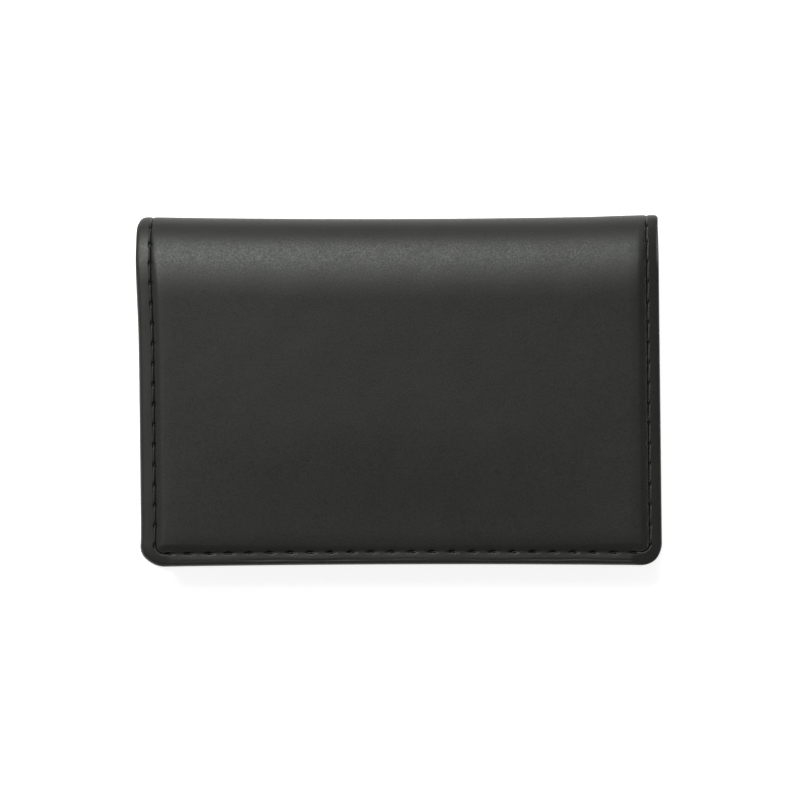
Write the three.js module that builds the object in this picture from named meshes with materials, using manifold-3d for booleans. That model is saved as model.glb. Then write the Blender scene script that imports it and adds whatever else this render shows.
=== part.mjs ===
// A folding business card case in black leather, closed and lying on its back half.
//
// +X runs along the fold, +Y points to the fold and +Z up. The origin is at the middle of the case's
// footprint, on the surface that it lies on. Sizes are in millimetres.
//
// The cover is one leather sheet. It is modelled as a back half, a spine and a front half, which meet at
// two crease lines, so that the case can open. Each half is a stack: leather with its edges turned in over
// a board, a foam pad that crowns the panel, and a lining. The back half carries a gusseted card pocket and
// the front half two flat card slots. All mouths face the fold.
import * as THREE from "three";
import { mergeVertices } from "three/addons/utils/BufferGeometryUtils.js";
import Module from "manifold-3d";

const wasm = await Module();
wasm.setup();

// ---------------------------------------------------------------- driving dimensions

const CASE_WIDTH = 104;
const CASE_DEPTH = 69.75; // from the free edge to the outside of the fold
const CORNER_RADIUS = 5;
const FOLD_REACH = 9; // how far the fold bulges past the flat part of each half
const FRONT_SETBACK = 0.2; // the front half's free edge stops this short of the back half's
const FRONT_SIDE_SETBACK = 0.4;

// Layers of one half, from its outer face inwards.
const SKIN = 0.8;
const BOARD = 0.6;
const TURN_IN = 0.5; // the skin's edge is pared thinner where it is turned in over the board
const LINING = 0.3;
const SEAT = 0.05; // between two layers that lie on each other
const BACK_PAD_RISE = 0.5; // how far the padded panel stands proud of the stitched edge
const FRONT_PAD_RISE = 1.1;

// Edge seam.
const SEAM_INSET = 2.6;
const THREAD_RADIUS = 0.22;
const THREAD_DEPTH = 0.27; // from the leather's face to the middle of the thread
const GROOVE_WIDTH = 0.9;
const GROOVE_DEPTH = 0.55;

// Card pocket and slots.
const CARD_SPACE = 4.4; // depth of the pocket, for a stack of about 14 cards
const POCKET_LEATHER = 0.7;
const SLOT_LEATHER = 0.6;
const CLOSED_CLEARANCE = 0.35; // between the pocket and the front half's slots
const POCKET_MOUTH_Y = 14;
const UPPER_SLOT_MOUTH_Y = 14;
const LOWER_SLOT_MOUTH_Y = 2;

// ---------------------------------------------------------------- worked-out levels

const HALF_WIDTH = CASE_WIDTH / 2;
const FREE_EDGE_Y = -CASE_DEPTH / 2;
const FOLD_START_Y = CASE_DEPTH / 2 - FOLD_REACH;

// Depths below the outer face of a half's stitched edge.
const BOARD_TOP = SKIN + SEAT;
const BOARD_UNDERSIDE = BOARD_TOP + BOARD;
const TURN_IN_TOP = BOARD_UNDERSIDE + SEAT;
const TURN_IN_UNDERSIDE = TURN_IN_TOP + TURN_IN;
const LINING_TOP = TURN_IN_UNDERSIDE + SEAT;
const INNER_FACE = LINING_TOP + LINING;
const UPPER_SLOT_TOP = INNER_FACE + SEAT;
const LOWER_SLOT_TOP = UPPER_SLOT_TOP + SLOT_LEATHER + SEAT;
const SLOTS_FACE = LOWER_SLOT_TOP + SLOT_LEATHER;

const POCKET_UNDERSIDE = INNER_FACE + CARD_SPACE;
const POCKET_FACE = POCKET_UNDERSIDE + POCKET_LEATHER;
const BACK_LEVEL = BACK_PAD_RISE;
const FRONT_LEVEL = BACK_LEVEL + POCKET_FACE + CLOSED_CLEARANCE + SLOTS_FACE;

// The fold is half an ellipse around the X direction. Its middle is halfway between the two halves.
const FOLD_HEIGHT = (FRONT_LEVEL - BACK_LEVEL) / 2;
const CREASE_ANGLE = THREE.MathUtils.degToRad(50.5); // along the fold, where it comes nearest the crease axis
const CREASE_GAP = THREE.MathUtils.degToRad(1.6);
const BEFORE_CREASE = CREASE_ANGLE - CREASE_GAP;
const AFTER_CREASE = CREASE_ANGLE + CREASE_GAP;

const BACK = { halfWidth: HALF_WIDTH, freeEdge: FREE_EDGE_Y, padRise: BACK_PAD_RISE };
const FRONT = {
  halfWidth: HALF_WIDTH - FRONT_SIDE_SETBACK,
  freeEdge: FREE_EDGE_Y + FRONT_SETBACK,
  padRise: FRONT_PAD_RISE,
};

// ---------------------------------------------------------------- materials

const plain = (color, roughness) => new THREE.MeshStandardMaterial({ color, roughness, metalness: 0 });
const LEATHER = plain(0x343433, 0.5);
const INNER_LEATHER = plain(0x2c2c2b, 0.55);
const THREAD = plain(0x1c1c1b, 0.7);
const CLOTH = plain(0x1f1f20, 0.85);
const FOAM = plain(0x5a5a58, 0.95);
const CARDBOARD = plain(0x8a7a62, 0.9);

// ---------------------------------------------------------------- solids

function solid(geometry) {
  const bare = geometry.clone();
  bare.deleteAttribute("normal");
  bare.deleteAttribute("uv");
  const merged = mergeVertices(bare, 1e-4);
  return new wasm.Manifold(
    new wasm.Mesh({
      numProp: 3,
      vertProperties: merged.attributes.position.array,
      triVerts: new Uint32Array(merged.index.array),
    }),
  );
}

function node(name, made, material) {
  const mesh = made.getMesh();
  const geometry = new THREE.BufferGeometry();
  geometry.setAttribute("position", new THREE.BufferAttribute(mesh.vertProperties, 3));
  geometry.setIndex(new THREE.BufferAttribute(mesh.triVerts, 1));
  geometry.computeVertexNormals();
  const placed = new THREE.Mesh(geometry, material);
  placed.name = name;
  return placed;
}

// A flat shape in plan, as a slab between two depths.
function slab(shape, from, to, curveSegments = 6) {
  const geometry = new THREE.ExtrudeGeometry(shape, { depth: to - from, bevelEnabled: false, curveSegments });
  return solid(geometry.translate(0, 0, from));
}

// A profile drawn in Y and Z, carried along X.
const PROFILE_TO_X = new THREE.Matrix4().makeBasis(
  new THREE.Vector3(0, 1, 0),
  new THREE.Vector3(0, 0, 1),
  new THREE.Vector3(1, 0, 0),
);
function alongX(profile, from, to) {
  const geometry = new THREE.ExtrudeGeometry(profile, { depth: to - from, bevelEnabled: false, curveSegments: 5 });
  return solid(geometry.applyMatrix4(PROFILE_TO_X).translate(from, 0, 0));
}

// A half's outline in plan, moved in from its edges: round corners at the free edge, square towards the fold.
function outline(half, inset, foldSide) {
  const w = half.halfWidth - inset;
  const y = half.freeEdge + inset;
  const r = Math.max(CORNER_RADIUS - inset, 1);
  const shape = new THREE.Shape();
  shape.moveTo(-w, foldSide);
  shape.lineTo(-w, y + r);
  shape.absarc(-w + r, y + r, r, Math.PI, 1.5 * Math.PI, false);
  shape.lineTo(w - r, y);
  shape.absarc(w - r, y + r, r, 1.5 * Math.PI, 2 * Math.PI, false);
  shape.lineTo(w, foldSide);
  return shape;
}

// A U-shaped strip along a half's three free sides, between two insets.
function edgeStrip(half, outerInset, innerInset, foldSide, from, to) {
  const beyond = 1;
  const outer = slab(outline(half, outerInset, foldSide), from, to);
  const inner = slab(outline(half, innerInset, foldSide + beyond), from - beyond, to + beyond);
  return outer.subtract(inner);
}

// A band that follows the fold between two depths. Angle 0 is at the back half and 180 degrees at the front.
function foldBand(outerDepth, innerDepth, from, to) {
  const quarter = Math.PI / 2;
  const reach = (depth) => FOLD_REACH - depth;
  const height = (depth) => FOLD_HEIGHT - depth;
  const shape = new THREE.Shape();
  const [a, b] = [from - quarter, to - quarter];
  shape.absellipse(FOLD_START_Y, FOLD_HEIGHT, reach(outerDepth), height(outerDepth), a, b, false);
  shape.absellipse(FOLD_START_Y, FOLD_HEIGHT, reach(innerDepth), height(innerDepth), b, a, true);
  return shape;
}

// ---------------------------------------------------------------- the cover leather

const TURN_IN_WIDTH = 7;
const TURN_IN_END_Y = FOLD_START_Y - 2;
const PAD_INSET = SEAM_INSET + 0.6;
const PAD_END_Y = FOLD_START_Y - 1;
const PAD_WALL = 0.9; // between the pad's edge and the foam in it

function seamGroove(half, from, to) {
  const side = GROOVE_WIDTH / 2;
  const flat = edgeStrip(half, SEAM_INSET - side, SEAM_INSET + side, FOLD_START_Y, -1, GROOVE_DEPTH);
  return flat.add(foldSeamGroove(half, from, to));
}

function foldSeamGroove(half, from, to) {
  const x = half.halfWidth - SEAM_INSET;
  const side = GROOVE_WIDTH / 2;
  const band = foldBand(-1, GROOVE_DEPTH, from, to);
  return alongX(band, x - side, x + side).add(alongX(band, -x - side, -x + side));
}

// The leather along the fold, doubled at its two ends by the edge that is turned in.
function foldLeather(half, from, to) {
  const w = half.halfWidth;
  const doubled = foldBand(SKIN / 2, SKIN + TURN_IN, from, to);
  return alongX(foldBand(0, SKIN, from, to), -w, w)
    .add(alongX(doubled, -w, TURN_IN_WIDTH - w))
    .add(alongX(doubled, w - TURN_IN_WIDTH, w));
}

// The crowned panel: a slab with a bevelled edge, kept only above the skin's underside.
function padShell(half) {
  const rise = half.padRise;
  const geometry = new THREE.ExtrudeGeometry(outline(half, PAD_INSET, PAD_END_Y), {
    depth: SKIN,
    bevelThickness: rise,
    bevelSize: rise,
    bevelOffset: -rise,
    bevelSegments: 2,
    curveSegments: 6,
  });
  const below = slab(outline(half, 0, FOLD_START_Y), SKIN, SKIN + 3);
  return solid(geometry).subtract(below);
}

function coverLeather(half) {
  const foam = slab(outline(half, PAD_INSET + PAD_WALL, PAD_END_Y - PAD_WALL), SKIN - half.padRise, SKIN + 1);
  return slab(outline(half, 0, FOLD_START_Y), 0, SKIN)
    .add(padShell(half))
    .subtract(foam)
    .add(edgeStrip(half, 0, SKIN, TURN_IN_END_Y, SKIN / 2, TURN_IN_UNDERSIDE))
    .add(edgeStrip(half, 0, TURN_IN_WIDTH, TURN_IN_END_Y, TURN_IN_TOP, TURN_IN_UNDERSIDE))
    .add(foldLeather(half, 0, BEFORE_CREASE))
    .subtract(seamGroove(half, 0, CREASE_ANGLE));
}

// ---------------------------------------------------------------- padding, board and lining

const BOARD_END_Y = TURN_IN_END_Y - 0.2;
const LINING_INSET = 1.2;
const FOLD_LINING_TOP = SKIN + TURN_IN + SEAT;

function padding(half) {
  const inset = PAD_INSET + PAD_WALL + SEAT;
  return slab(outline(half, inset, PAD_END_Y - PAD_WALL - SEAT), SKIN - half.padRise + SEAT, SKIN);
}

function board(half) {
  return slab(outline(half, SKIN + SEAT, BOARD_END_Y), BOARD_TOP, BOARD_UNDERSIDE);
}

// The lining lies flat on the turned-in edges, steps down past the board and follows the fold to the crease.
function lining(half) {
  const width = half.halfWidth - LINING_INSET;
  const overlap = 5;
  const fold = foldBand(FOLD_LINING_TOP, FOLD_LINING_TOP + LINING, 0, BEFORE_CREASE);
  const step = new THREE.Shape();
  step.moveTo(BOARD_END_Y - overlap, LINING_TOP);
  step.lineTo(TURN_IN_END_Y + SEAT, LINING_TOP);
  step.lineTo(FOLD_START_Y, FOLD_LINING_TOP);
  step.lineTo(FOLD_START_Y, FOLD_LINING_TOP + LINING);
  step.lineTo(TURN_IN_END_Y + SEAT, INNER_FACE);
  step.lineTo(BOARD_END_Y - overlap, INNER_FACE);
  const middle = slab(outline(half, TURN_IN_WIDTH + 0.2, BOARD_END_Y), TURN_IN_TOP, INNER_FACE);
  return slab(outline(half, LINING_INSET, BOARD_END_Y), LINING_TOP, INNER_FACE)
    .add(middle)
    .add(alongX(step, -width, width))
    .add(alongX(fold, -width, width));
}

// ---------------------------------------------------------------- thread

const ARC_STEP = THREE.MathUtils.degToRad(12);

// An arc in space: a centre, and the two directions that angle 0 and angle 90 degrees point in.
class Arc extends THREE.Curve {
  constructor(centre, along, across, from, to) {
    super();
    Object.assign(this, { centre, along, across, from, to });
  }

  getPoint(t, target = new THREE.Vector3()) {
    const angle = THREE.MathUtils.lerp(this.from, this.to, t);
    return target
      .copy(this.centre)
      .addScaledVector(this.along, Math.cos(angle))
      .addScaledVector(this.across, Math.sin(angle));
  }
}

const at = (x, y, z) => new THREE.Vector3(x, y, z);

// A straight run, a little longer at both ends so that it joins the runs beside it.
function straight(from, to) {
  const overlap = to.clone().sub(from).setLength(0.02);
  return new THREE.LineCurve3(from.clone().sub(overlap), to.clone().add(overlap));
}

function thread(runs, radius) {
  const section = new THREE.Shape().absarc(0, 0, radius, 0, 2 * Math.PI, false);
  const tube = (run) => {
    const steps = run instanceof Arc ? Math.ceil(Math.abs(run.to - run.from) / ARC_STEP) : 1;
    return solid(new THREE.ExtrudeGeometry(section, { extrudePath: run, steps, curveSegments: 4 }));
  };
  return runs.map(tube).reduce((joined, next) => joined.add(next));
}

// The part of a seam that follows the fold, at one end of it.
function foldArc(x, from, to) {
  const reach = at(0, FOLD_REACH - THREAD_DEPTH, 0);
  const height = at(0, 0, THREAD_DEPTH - FOLD_HEIGHT);
  return new Arc(at(x, FOLD_START_Y, FOLD_HEIGHT), height, reach, from, to);
}

// A half's edge seam: down one side, round the free edge and up the other side, each end running onto the fold.
function edgeThread(half) {
  const x = half.halfWidth - SEAM_INSET;
  const y = half.freeEdge + SEAM_INSET;
  const r = CORNER_RADIUS - SEAM_INSET;
  const z = THREAD_DEPTH;
  const left = at(-x + r, y + r, z);
  const right = at(x - r, y + r, z);
  const seam = [
    foldArc(-x, BEFORE_CREASE, 0),
    straight(at(-x, FOLD_START_Y, z), at(-x, y + r, z)),
    new Arc(left, at(r, 0, 0), at(0, r, 0), Math.PI, 1.5 * Math.PI),
    straight(at(-x + r, y, z), at(x - r, y, z)),
    new Arc(right, at(r, 0, 0), at(0, r, 0), 1.5 * Math.PI, 2 * Math.PI),
    straight(at(x, y + r, z), at(x, FOLD_START_Y, z)),
    foldArc(x, 0, BEFORE_CREASE),
  ];
  return thread(seam, THREAD_RADIUS);
}

// ---------------------------------------------------------------- the card pocket

const MARGIN_OUTER_INSET = 1.6; // the pocket's sewn margin lies inside the lining's edge
const MARGIN_INNER_INSET = 4.2;
const MARGIN_LEATHER = 0.5;
const MARGIN_TOP = INNER_FACE + SEAT;
const MARGIN_FACE = MARGIN_TOP + MARGIN_LEATHER;
const POCKET_HALF_WIDTH = HALF_WIDTH - 3.8;
const POCKET_WALL_Y = FREE_EDGE_Y + 3.8;
const POCKET_CORNER = 2.5;
const NOTCH_RADIUS = 10;
const NOTCH_CENTRE_Y = POCKET_MOUTH_Y + 2;
const EDGE_STITCH_INSET = 2; // from a mouth's edge to its stitching

function pocketMargin() {
  return edgeStrip(BACK, MARGIN_OUTER_INSET, MARGIN_INNER_INSET, POCKET_MOUTH_Y, MARGIN_TOP, MARGIN_FACE);
}

// One sheet: it stands up from the seam, rounds over and lies flat to the mouth, where a thumb notch is cut.
function pocketPanel() {
  const foot = MARGIN_FACE + SEAT;
  const inner = POCKET_CORNER - POCKET_LEATHER;
  const cornerY = POCKET_WALL_Y + POCKET_CORNER;
  const cornerZ = POCKET_FACE - POCKET_CORNER;
  const profile = new THREE.Shape();
  profile.moveTo(POCKET_WALL_Y, foot);
  profile.lineTo(POCKET_WALL_Y + POCKET_LEATHER, foot);
  profile.absarc(cornerY, cornerZ, inner, Math.PI, Math.PI / 2, true);
  profile.lineTo(POCKET_MOUTH_Y, POCKET_UNDERSIDE);
  profile.lineTo(POCKET_MOUTH_Y, POCKET_FACE);
  profile.absarc(cornerY, cornerZ, POCKET_CORNER, Math.PI / 2, Math.PI, false);
  const notch = new THREE.Shape().absarc(0, NOTCH_CENTRE_Y, NOTCH_RADIUS, 0, 2 * Math.PI, false);
  return alongX(profile, -POCKET_HALF_WIDTH, POCKET_HALF_WIDTH)
    .subtract(slab(notch, POCKET_UNDERSIDE - 1, POCKET_FACE + 1, 24))
    .subtract(mouthGroove());
}

const MOUTH_THREAD_RADIUS = 0.15;
const MOUTH_THREAD_DEPTH = 0.18;
const MOUTH_GROOVE_WIDTH = 0.6;
const MOUTH_GROOVE_DEPTH = 0.38;
const MOUTH_THREAD_END = 2; // from the panel's side to the end of the mouth stitching

// Where the mouth's stitching turns round the notch.
const STITCH_Y = POCKET_MOUTH_Y - EDGE_STITCH_INSET;
const STITCH_TURN_RADIUS = NOTCH_RADIUS + EDGE_STITCH_INSET;
const STITCH_TURN = Math.acos((NOTCH_CENTRE_Y - STITCH_Y) / STITCH_TURN_RADIUS);
const STITCH_TURN_X = STITCH_TURN_RADIUS * Math.sin(STITCH_TURN);

function mouthGroove() {
  const side = MOUTH_GROOVE_WIDTH / 2;
  const [from, to] = [POCKET_FACE - MOUTH_GROOVE_DEPTH, POCKET_FACE + 1];
  const ring = new THREE.Shape().absarc(0, NOTCH_CENTRE_Y, STITCH_TURN_RADIUS + side, 0, 2 * Math.PI, false);
  ring.holes.push(new THREE.Path().absarc(0, NOTCH_CENTRE_Y, STITCH_TURN_RADIUS - side, 0, 2 * Math.PI, true));
  const end = POCKET_HALF_WIDTH - MOUTH_THREAD_END + side;
  const straight = rectangle(STITCH_TURN_X - side, end, STITCH_Y - side, STITCH_Y + side);
  const mirrored = rectangle(-end, side - STITCH_TURN_X, STITCH_Y - side, STITCH_Y + side);
  return slab(ring, from, to, 24).add(slab(straight, from, to)).add(slab(mirrored, from, to));
}

function rectangle(left, right, low, high) {
  const shape = new THREE.Shape();
  shape.moveTo(left, low);
  shape.lineTo(right, low);
  shape.lineTo(right, high);
  shape.lineTo(left, high);
  return shape;
}

function mouthThread() {
  const z = POCKET_FACE - MOUTH_THREAD_DEPTH;
  const end = POCKET_HALF_WIDTH - MOUTH_THREAD_END;
  const radius = at(0, -STITCH_TURN_RADIUS, 0);
  const across = at(STITCH_TURN_RADIUS, 0, 0);
  const seam = [
    straight(at(-end, STITCH_Y, z), at(-STITCH_TURN_X, STITCH_Y, z)),
    new Arc(at(0, NOTCH_CENTRE_Y, z), radius, across, -STITCH_TURN, STITCH_TURN),
    straight(at(STITCH_TURN_X, STITCH_Y, z), at(end, STITCH_Y, z)),
  ];
  return thread(seam, MOUTH_THREAD_RADIUS);
}

// A gusset: a strip folded once, with its fold pointing into the pocket. side is -1 at the left.
const GUSSET_LEATHER = 0.5;
const GUSSET_SEAM_X = HALF_WIDTH - 4;
const GUSSET_FOLD_X = HALF_WIDTH - 6.9;
function gusset(side) {
  const low = MARGIN_FACE + SEAT;
  const high = POCKET_UNDERSIDE - SEAT;
  const middle = (low + high) / 2;
  const seam = side * GUSSET_SEAM_X;
  const fold = side * GUSSET_FOLD_X;
  const thick = side * GUSSET_LEATHER;
  const profile = new THREE.Shape();
  profile.moveTo(seam, low);
  profile.lineTo(fold + thick, middle);
  profile.lineTo(seam, high);
  profile.lineTo(seam - thick, high);
  profile.lineTo(fold, middle);
  profile.lineTo(seam - thick, low);
  const from = POCKET_WALL_Y + POCKET_CORNER + 0.3;
  const to = POCKET_MOUTH_Y - 0.5;
  // The profile is drawn in X and Z and carried towards the free edge.
  const towardsEdge = new THREE.Matrix4().makeBasis(at(1, 0, 0), at(0, 0, 1), at(0, -1, 0));
  const strip = new THREE.ExtrudeGeometry(profile, { depth: to - from, bevelEnabled: false });
  return solid(strip.applyMatrix4(towardsEdge).translate(0, to, 0));
}

// ---------------------------------------------------------------- the flat card slots

const SLOT_INSET = 1.4;

function cardSlot(mouthY, top) {
  const face = top + SLOT_LEATHER;
  const y = mouthY - EDGE_STITCH_INSET;
  const side = MOUTH_GROOVE_WIDTH / 2;
  const end = slotThreadEnd() + side;
  const groove = slab(rectangle(-end, end, y - side, y + side), face - MOUTH_GROOVE_DEPTH, face + 1);
  return slab(outline(FRONT, SLOT_INSET, mouthY), top, face).subtract(groove);
}

function slotThreadEnd() {
  return FRONT.halfWidth - SEAM_INSET - MOUTH_THREAD_END;
}

function slotThread(mouthY, top) {
  const z = top + SLOT_LEATHER - MOUTH_THREAD_DEPTH;
  const y = mouthY - EDGE_STITCH_INSET;
  const end = slotThreadEnd();
  return thread([straight(at(-end, y, z), at(end, y, z))], MOUTH_THREAD_RADIUS);
}

// ---------------------------------------------------------------- the spine

const FOLD_END = Math.PI - AFTER_CREASE;

function spineLeather() {
  return foldLeather(BACK, AFTER_CREASE, FOLD_END).subtract(foldSeamGroove(BACK, CREASE_ANGLE, Math.PI - CREASE_ANGLE));
}

function spineLining() {
  const width = HALF_WIDTH - LINING_INSET;
  return alongX(foldBand(FOLD_LINING_TOP, FOLD_LINING_TOP + LINING, AFTER_CREASE, FOLD_END), -width, width);
}

function spineThread(side) {
  return thread([foldArc(side * (HALF_WIDTH - SEAM_INSET), AFTER_CREASE, FOLD_END)], THREAD_RADIUS);
}

// ---------------------------------------------------------------- the case

const backHalf = new THREE.Group();
backHalf.add(
  node("back_cover_leather", coverLeather(BACK), LEATHER),
  node("back_padding", padding(BACK), FOAM),
  node("back_board", board(BACK), CARDBOARD),
  node("back_lining", lining(BACK), CLOTH),
  node("back_seam_thread", edgeThread(BACK), THREAD),
  node("pocket_seam_margin", pocketMargin(), INNER_LEATHER),
  node("pocket_gusset_left", gusset(-1), INNER_LEATHER),
  node("pocket_gusset_right", gusset(1), INNER_LEATHER),
);

const pocket = new THREE.Group();
pocket.add(
  node("pocket_panel", pocketPanel(), INNER_LEATHER),
  node("pocket_mouth_thread", mouthThread(), THREAD),
);

const spine = new THREE.Group();
spine.add(
  node("spine_leather", spineLeather(), LEATHER),
  node("spine_lining", spineLining(), CLOTH),
  node("spine_thread_left", spineThread(-1), THREAD),
  node("spine_thread_right", spineThread(1), THREAD),
);

const frontHalf = new THREE.Group();
frontHalf.add(
  node("front_cover_leather", coverLeather(FRONT), LEATHER),
  node("front_padding", padding(FRONT), FOAM),
  node("front_board", board(FRONT), CARDBOARD),
  node("front_lining", lining(FRONT), CLOTH),
  node("front_seam_thread", edgeThread(FRONT), THREAD),
  node("upper_card_slot", cardSlot(UPPER_SLOT_MOUTH_Y, UPPER_SLOT_TOP), INNER_LEATHER),
  node("lower_card_slot", cardSlot(LOWER_SLOT_MOUTH_Y, LOWER_SLOT_TOP), INNER_LEATHER),
  node("upper_slot_thread", slotThread(UPPER_SLOT_MOUTH_Y, UPPER_SLOT_TOP), THREAD),
  node("lower_slot_thread", slotThread(LOWER_SLOT_MOUTH_Y, LOWER_SLOT_TOP), THREAD),
);

// Every piece is drawn from its half's outer face inwards, so the front half is turned over.
for (const group of [backHalf, pocket, spine]) group.position.z = BACK_LEVEL;
frontHalf.position.z = FRONT_LEVEL;
frontHalf.rotation.y = Math.PI;

const cardCase = new THREE.Group();
cardCase.add(backHalf, pocket, spine, frontHalf);

export default cardCase;
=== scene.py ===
import math

import bmesh
import bpy
import numpy as np
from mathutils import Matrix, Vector


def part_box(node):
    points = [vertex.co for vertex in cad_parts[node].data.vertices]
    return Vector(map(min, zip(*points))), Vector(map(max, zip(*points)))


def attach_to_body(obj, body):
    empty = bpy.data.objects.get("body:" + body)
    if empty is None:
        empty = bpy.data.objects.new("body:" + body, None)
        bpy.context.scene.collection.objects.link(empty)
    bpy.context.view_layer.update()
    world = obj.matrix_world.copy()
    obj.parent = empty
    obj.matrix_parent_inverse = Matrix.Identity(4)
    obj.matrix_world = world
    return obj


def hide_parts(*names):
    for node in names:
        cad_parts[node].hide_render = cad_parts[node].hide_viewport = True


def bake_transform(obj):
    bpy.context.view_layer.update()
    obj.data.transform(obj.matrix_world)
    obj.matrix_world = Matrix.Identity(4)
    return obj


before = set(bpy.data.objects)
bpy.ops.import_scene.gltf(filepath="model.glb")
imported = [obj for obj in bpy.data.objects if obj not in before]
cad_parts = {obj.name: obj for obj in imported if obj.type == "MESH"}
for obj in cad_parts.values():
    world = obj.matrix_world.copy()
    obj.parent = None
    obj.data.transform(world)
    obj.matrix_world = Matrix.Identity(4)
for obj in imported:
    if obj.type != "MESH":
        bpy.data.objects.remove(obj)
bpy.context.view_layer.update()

MM = 0.001


def mm_box(node):
    low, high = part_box(node)
    return np.array(low) / MM, np.array(high) / MM


# ---------------------------------------------------------------- sizes, in millimetres

back_low, back_high = mm_box("back_cover_leather")
front_low, front_high = mm_box("front_cover_leather")
spine_high = mm_box("spine_leather")[1]

FOLD_REACH = 9.0
FOLD_OUTSIDE = spine_high[1]
FOLD_START = FOLD_OUTSIDE - FOLD_REACH
BACK_LEVEL = 0.5
FRONT_PAD = 1.1
BACK_PAD = 0.45
FRONT_LEVEL = front_high[2] - FRONT_PAD
FOLD_HEIGHT = (FRONT_LEVEL - BACK_LEVEL) / 2
CORNER = 4.5
SEAM = 2.45
SKIN = 0.78
EDGE_THICKNESS = 2.0
FOLD_THICKNESS = 1.3
LINING = 0.28
LINING_TOP = 2.06
FOLD_LINING_TOP = 1.36
THIN_FROM = -3.5  # the cover and its lining run thinner towards the fold, from here along the sheet
THIN_OVER = 4.0
MARGIN_FACE = 2.9
UPPER_SLOT_FACE = 3.0
LOWER_SLOT_FACE = 3.65
SLOT_LEATHER = 0.6
POCKET_MOUTH_Y = 14.0
UPPER_SLOT_Y = 14.0
LOWER_SLOT_Y = 2.0
SPINE_HALF_WIDTH = front_high[0]
LEFT_PULL_IN = 0.7  # how far the side's edge draws in where the cover turns round the fold
RIGHT_PULL_IN = -0.12  # this edge stands out a little instead
PULL_FROM = 5.0  # along the sheet
SAG = 0.55  # how far the middle of the fold is flattened
PANEL_SPREAD = 16.0  # from the outside of the fold to where the padded panel lies flat
EDGE_SPREAD = 13.0  # the same for the stitched edge
SEAM_CORNER = (CORNER - SEAM) * math.pi / 2  # length of the seam round one corner
STITCH = 4.0
THREAD = 0.145
INNER_THREAD = 0.17
MOUTH_STITCH = 3.0  # the stitches along the mouths of the pocket and the slots
MOUTH_THREAD = 0.14
MOUTH_SEAM = 2.0  # from the mouth to its stitches
MOUTH_CREASE = 3.6  # from a slot's mouth to the line pressed beside its stitches
LEAN = 0.0082  # out of square: mm to the right for each mm towards the free edge
ABOUT_HALF = 50.0  # about half the case's width
BOW = 0.35  # how far the middle of the free edge draws in
LEFT_FLARES = ((0.45, 26, 10.5), (0.25, -32.5, 2.5))  # the left edge stands out: how far, y, how wide
RIGHT_RISE = 0.12  # how much farther the fold reaches at its right end
ACROSS = 0.25  # how far all that lies inside the edges sits to the right
COVER_CORNER_STEPS = 14
CORNER_STEPS = 10


def smooth(t):
    t = np.clip(t, 0.0, 1.0)
    return t * t * (3 - 2 * t)


def hump(t):
    """1 at 0, falling to nothing on both sides."""
    return np.exp(-(t**2))


def at_fold(s):
    """0 on the flat part of a half, 1 on the fold."""
    return smooth((s - THIN_FROM) / THIN_OVER)


# ---------------------------------------------------------------- the fold

# Arc length along the outside of the fold, from its start to the middle of the spine.
fold_angles = np.linspace(0, math.pi / 2, 2001)
steps = np.hypot(FOLD_REACH * np.cos(fold_angles), FOLD_HEIGHT * np.sin(fold_angles))
fold_lengths = np.concatenate([[0], np.cumsum((steps[1:] + steps[:-1]) / 2 * np.diff(fold_angles))])
FOLD_LENGTH = fold_lengths[-1]
fold_places = np.linspace(-20, FOLD_LENGTH, 400)


def inside_fold(pad, spread, sag):
    """How far an even curve lies inside the plain fold, or below 0 outside it, at places along the sheet."""
    level, start = FOLD_HEIGHT + pad, FOLD_OUTSIDE - sag - spread
    a = np.interp(fold_places, fold_lengths, fold_angles)
    y = FOLD_START + np.minimum(fold_places, 0) + FOLD_REACH * np.sin(a)
    z = FOLD_HEIGHT * np.cos(a)
    ny, nz = np.sin(a) / FOLD_REACH, np.cos(a) / FOLD_HEIGHT
    size = np.hypot(ny, nz)
    ny, nz = ny / size, nz / size
    low, high = np.full_like(fold_places, -3.0), np.full_like(fold_places, 3.0)
    for _ in range(50):  # halves the interval each time
        middle = (low + high) / 2
        u = np.clip(y - middle * ny - start, 0, None) / spread
        outside = u**2 + ((z - middle * nz) / level) ** 2 > 1
        low = np.where(outside, middle, low)
        high = np.where(outside, high, middle)
    return low


class Half:
    """One half of the case, as a sheet from its free edge to the middle of the fold."""

    def __init__(self, half_width, free_edge, pad, over):
        self.half_width = half_width
        self.free = free_edge - FOLD_START  # the free edge, in distance along the sheet from the fold
        self.corner_x, self.corner_s = half_width - CORNER, self.free + CORNER  # the centre of a corner's arc
        self.over = over  # the front half lies upside down over the back half
        self.edge_curves = [inside_fold(0, EDGE_SPREAD, sag) for sag in (0, SAG)]
        self.panel_curves = [inside_fold(pad, PANEL_SPREAD, sag) for sag in (0, SAG)]

    def curve(self, curves, x, s):
        middle = np.clip(1 - (x / SPINE_HALF_WIDTH) ** 2, 0, 1)
        straight, sagged = (np.interp(s, fold_places, c) for c in curves)
        return straight + (sagged - straight) * middle

    def edge(self, x, s):
        """How deep the stitched edge lies inside the plain fold."""
        return self.curve(self.edge_curves, x, s)

    def proud(self, x, s):
        """How far the padded panel stands out from the stitched edge. At the fold the two run together."""
        return self.edge(x, s) - self.curve(self.panel_curves, x, s)

    def place(self, x, s, depth):
        """Points of the sheet: x along the fold, s along the sheet from the fold's start, depth inwards."""
        x, s, depth = np.broadcast_arrays(np.asarray(x, float), s, depth)
        depth = depth + self.edge(x, s)
        a = np.interp(s, fold_lengths, fold_angles)
        ny, nz = np.sin(a) / FOLD_REACH, -np.cos(a) / FOLD_HEIGHT
        size = np.hypot(ny, nz)
        y = FOLD_START + np.minimum(s, 0) + FOLD_REACH * np.sin(a) - depth * ny / size
        z = FOLD_HEIGHT * (1 - np.cos(a)) - depth * nz / size
        z = FRONT_LEVEL - z if self.over else BACK_LEVEL + z
        return skewed(x, y, z)


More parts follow.
